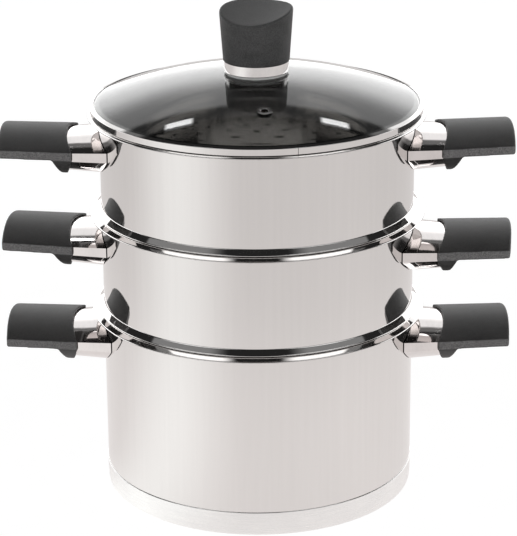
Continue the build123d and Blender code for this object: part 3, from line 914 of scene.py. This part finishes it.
# %% The room that each ray sees
through_loss = 0.84
path = sheet.node("ShaderNodeLightPath").socket.node
seen = Wire(sheet, path.outputs["Is Camera Ray"])
matt = Wire(sheet, path.outputs["Is Diffuse Ray"])
through = Wire(sheet, path.outputs["Is Transmission Ray"])
room = (backdrop + front + soft_boxes * box_level + lamps * lamp_level) * 0.97 + 0.02
room = room * (1 - through_loss * through)
front_light = sheet.remap(y, 0.5, -0.9, 0.6, 1.5, smooth=True)
matt_light = front_light * sheet.remap(z, 0.1, 0.9, 1.1, 0.05, smooth=True)
level = seen + (1 - seen) * (matt * matt_light + (1 - matt) * room)
background = sheet.node("ShaderNodeBackground", {}, {"Color": (1, 1, 1, 1), "Strength": level})
sheet.node("ShaderNodeOutputWorld", {}, {"Surface": background})
print("world:", len(world.node_tree.nodes), "nodes")

# %% [markdown]
# ## The floor
# The pot stands on a white sweep. A plain emitting plane would swallow the pot's shadow, and a plain
# white one would look grey, so the camera sees a mix of both. The vessels' walls mirror the floor in
# front of them, and the pale and pinkish bands on them come from it: its light follows the bearing
# round the pot and falls with the distance.

# %% Where a point of the floor lies
floor_half = 6.0
slab = bmesh.new()
bmesh.ops.create_grid(slab, x_segments=8, y_segments=8, size=floor_half)
floor_mesh = bpy.data.meshes.new("studio_floor")
slab.to_mesh(floor_mesh)
slab.free()
studio_floor = bpy.data.objects.new("studio_floor", floor_mesh)
scene.collection.objects.link(studio_floor)
floor_white, sheet = material("studio_floor")
place = object_place(sheet)
axes = sheet.node("ShaderNodeSeparateXYZ", {}, {0: place}).socket.node
x, y = (Wire(sheet, axes.outputs[i]) for i in range(2))
bearing = x.math("ARCTAN2", x, -1 * y) / degree
distance = (x * x + y * y).root()
print("floor:", 2 * floor_half, "m across")

# %% What the camera and the mirrors see of the floor
lamp_bearing, lamp_spread = -56, 50
right_bearing, right_spread = 60, 55
lamp_side = sheet.remap((bearing - lamp_bearing).size(), lamp_spread, 0, smooth=True)
right_side = sheet.remap((bearing - right_bearing).size(), right_spread, 0, smooth=True)
far = sheet.remap(distance, 0.35, 1.0, smooth=True)
near = sheet.remap(distance, 0.65, 0.25, smooth=True)
patch = 0.87 + 0.11 * near + 0.29 * lamp_side + 0.03 * right_side - 0.08 * far * (1 - lamp_side)
pink = sheet.blend(lamp_side, (1.0, 0.955, 0.94, 1), (1, 0.99, 0.975, 1))
path = sheet.node("ShaderNodeLightPath").socket.node
seen, glossy, through = (
    Wire(sheet, path.outputs[name]) for name in ("Is Camera Ray", "Is Glossy Ray", "Is Transmission Ray")
)
grain = noise(sheet, place, 18, detail=3)
strength = seen * sheet.remap(grain, 0, 1, 1.07, 1.09) + (1 - seen) * patch
tint = sheet.blend(seen, pink, (1, 1, 1, 1))
white = sheet.node("ShaderNodeEmission", {}, {"Color": tint, "Strength": strength})
shaded = sheet.node("ShaderNodeBsdfDiffuse", {}, {"Color": (0.95, 0.95, 0.95, 1), "Roughness": 0.5})
share = seen * 0.88 + (1 - seen) * glossy.at_least(through) * 0.8
surface = sheet.node("ShaderNodeMixShader", {}, {0: share, 1: shaded, 2: white})
sheet.node("ShaderNodeOutputMaterial", {}, {"Surface": surface})
floor_mesh.materials.append(floor_white)
print("floor material:", len(floor_white.node_tree.nodes), "nodes")

# %% [markdown]
# ## The camera
# The photograph was taken with a long lens from 1.7 metres away and 0.8 metres up, tipped down
# by a little under 20 degrees. The camera leans by a fraction of a degree.

# %% Camera
eye_height = 0.7904
eye_distance = 1.7335
tip_down = math.radians(19.603)
lean = math.radians(-0.4)
aim_aside = 0.0005
film_width = 36
focal_pixels, picture_height_pixels = 2349.7, 536
lens = bpy.data.cameras.new("camera")
lens.sensor_width = film_width
lens.lens = focal_pixels * film_width / picture_height_pixels
camera = bpy.data.objects.new("camera", lens)
scene.collection.objects.link(camera)
camera.matrix_world = (
    Matrix.Translation((aim_aside, -eye_distance, eye_height))
    @ Matrix.Rotation(math.pi / 2 - tip_down, 4, "X")
    @ Matrix.Rotation(lean, 4, "Z")
)
scene.camera = camera
scene.view_settings.view_transform = "Standard"
print("lens:", round(lens.lens, 1), "mm")
